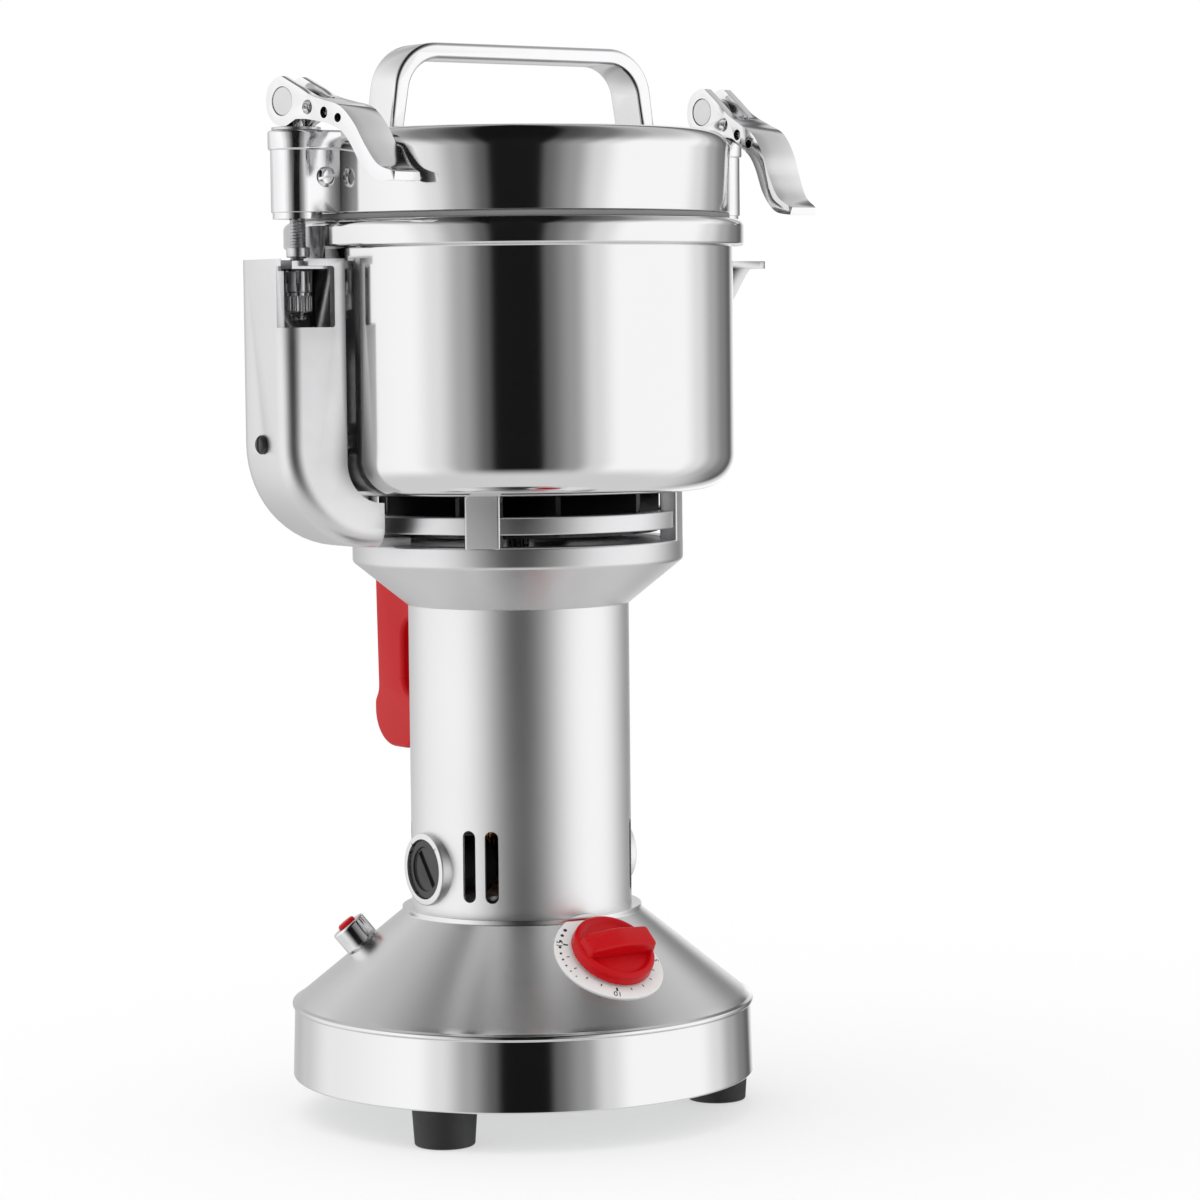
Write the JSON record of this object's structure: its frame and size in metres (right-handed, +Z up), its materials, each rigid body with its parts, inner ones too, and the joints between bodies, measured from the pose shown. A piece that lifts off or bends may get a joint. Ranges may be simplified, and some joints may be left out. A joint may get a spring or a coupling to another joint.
{
  "type": "electric grain mill",
  "caption": "Upright kitchen mill: motor column on a cone base, steel grinding bowl, lid that swings aside, cam clamp levers, timer knob, reset button and rear grip.",
  "frame": {"origin": "where the motor axis meets the table, midway between the feet", "axes": "+Z up the motor axis; -Y the front with the timer knob; -X the hinge side with the arm; +X the latch side; +Y the rear grip"},
  "size_m": [0.2018, 0.163, 0.3665],
  "materials": {
    "polished_steel": "mirror polished stainless steel",
    "brushed_steel": "fine vertical-lit brushed stainless tube",
    "cast_aluminium": "satin cast aluminium",
    "plated_steel": "bright plated steel",
    "polished_fittings": "polished cast and bent fittings",
    "blade_steel": "ground blade steel",
    "zinc_sheet": "zinc plated sheet",
    "black_rubber": "matte black rubber",
    "lid_silicone": "dark silicone",
    "black_plastic": "black moulded plastic",
    "red_plastic": "glossy red moulded plastic",
    "dial_white": "white printed dial",
    "core_steel": "laminated core steel",
    "copper": "enamelled copper",
    "carbon": "pressed carbon",
    "spring_steel": "spring wire"
  },
  "bodies": {
    "mill": {"base_shell": "polished_steel", "base_plate": "zinc_sheet", "rubber_feet": "black_rubber", "foot_screws": "plated_steel", "cord_inlet": "black_rubber", "dial_plate": "dial_white", "timer_body": "zinc_sheet", "reset_collar": "plated_steel", "breaker_body": "zinc_sheet", "column_tube": "brushed_steel", "end_bracket": "cast_aluminium", "lower_bearing": "plated_steel", "upper_bearing": "plated_steel", "stator_core": "core_steel", "field_coils": "copper", "brush_holders": "black_plastic", "carbon_brushes": "carbon", "brush_springs": "spring_steel", "brush_cap_left": "black_plastic", "brush_cap_right": "black_plastic", "bowl_bracket": "cast_aluminium", "bowl": "polished_steel", "shaft_seal": "black_rubber", "hinge_arm": "cast_aluminium", "hinge_lug": "plated_steel", "arm_spacer": "plated_steel", "arm_screw": "black_plastic", "latch_lug": "plated_steel", "rear_grip": "red_plastic", "grip_screws": "plated_steel"},
    "rotor": {"rotor_shaft": "plated_steel", "armature_core": "core_steel", "armature_winding": "copper", "commutator": "copper", "cooling_fan": "black_plastic", "lower_blade": "blade_steel", "upper_blade": "blade_steel", "blade_spacers": "blade_steel", "blade_nut": "blade_steel"},
    "timer_control": {"timer_knob": "red_plastic", "timer_spindle": "plated_steel"},
    "reset_control": {"reset_button": "red_plastic"},
    "lid": {"lid_shell": "polished_steel", "lid_seal": "lid_silicone", "lid_handle": "polished_fittings", "lid_handle_screws": "plated_steel", "ear_left": "polished_fittings", "ear_right": "polished_fittings", "ear_screws": "plated_steel"},
    "left_turntable": {"left_washer": "plated_steel"},
    "left_clamp_rod": {"left_rod": "plated_steel", "left_barrel": "plated_steel"},
    "left_cam": {"left_lever": "polished_fittings"},
    "left_adjuster": {"left_nut": "plated_steel"},
    "right_turntable": {"right_washer": "plated_steel"},
    "right_clamp_rod": {"right_rod": "plated_steel", "right_barrel": "plated_steel"},
    "right_cam": {"right_lever": "polished_fittings"},
    "right_adjuster": {"right_nut": "plated_steel"}
  },
  "joints": [
    {"name": "blade_spin", "type": "hinge", "parent": "mill", "child": "rotor", "pos_m": [0, 0, 0.12], "axis": [0, 0, 1], "continuous": true},
    {"name": "lid_swing", "type": "hinge", "parent": "mill", "child": "lid", "pos_m": [-0.0854, 0, 0.32], "axis": [0, 0, 1], "range_deg": [0, 150]},
    {"name": "timer_turn", "type": "hinge", "parent": "mill", "child": "timer_control", "pos_m": [0, -0.054, 0.0594], "axis": [0, 0.6322, -0.7748], "range_deg": [0, 300]},
    {"name": "reset_press", "type": "slide", "parent": "mill", "child": "reset_control", "axis": [0.5302, -0.3443, -0.7748], "range_m": [0, 0.0014], "stiffness_N_per_m": 400},
    {"name": "left_lever_swivel", "type": "hinge", "parent": "lid", "child": "left_turntable", "pos_m": [-0.0854, 0, 0.337], "axis": [0, 0, 1], "range_deg": [-152, 0]},
    {"name": "left_rod_drop", "type": "slide", "parent": "left_turntable", "child": "left_clamp_rod", "axis": [0, 0, -1], "range_m": [-0.0001079, 0.0007919]},
    {"name": "left_lever_open", "type": "hinge", "parent": "left_clamp_rod", "child": "left_cam", "pos_m": [-0.0854, 0, 0.34589], "axis": [-0.9703, -0.2419, 0], "range_deg": [-12, 88]},
    {"name": "left_nut_turn", "type": "hinge", "parent": "left_clamp_rod", "child": "left_adjuster", "pos_m": [-0.0854, 0, 0.283], "axis": [0, 0, 1], "range_deg": [-180, 180]},
    {"name": "right_lever_swivel", "type": "hinge", "parent": "lid", "child": "right_turntable", "pos_m": [0.0854, 0, 0.337], "axis": [0, 0, 1], "range_deg": [-21, 180]},
    {"name": "right_rod_drop", "type": "slide", "parent": "right_turntable", "child": "right_clamp_rod", "axis": [0, 0, -1], "range_m": [0, 0.0008999]},
    {"name": "right_lever_open", "type": "hinge", "parent": "right_clamp_rod", "child": "right_cam", "pos_m": [0.0854, 0, 0.346], "axis": [-0.9925, -0.1219, 0], "range_deg": [0, 100]},
    {"name": "right_nut_turn", "type": "hinge", "parent": "right_clamp_rod", "child": "right_adjuster", "pos_m": [0.0854, 0, 0.283], "axis": [0, 0, 1], "range_deg": [-180, 180]}
  ],
  "couplings": [
    {"joint": "left_lever_open", "follows": "left_rod_drop", "rad_per_m": 1939.3},
    {"joint": "right_lever_open", "follows": "right_rod_drop", "rad_per_m": 1939.3}
  ]
}
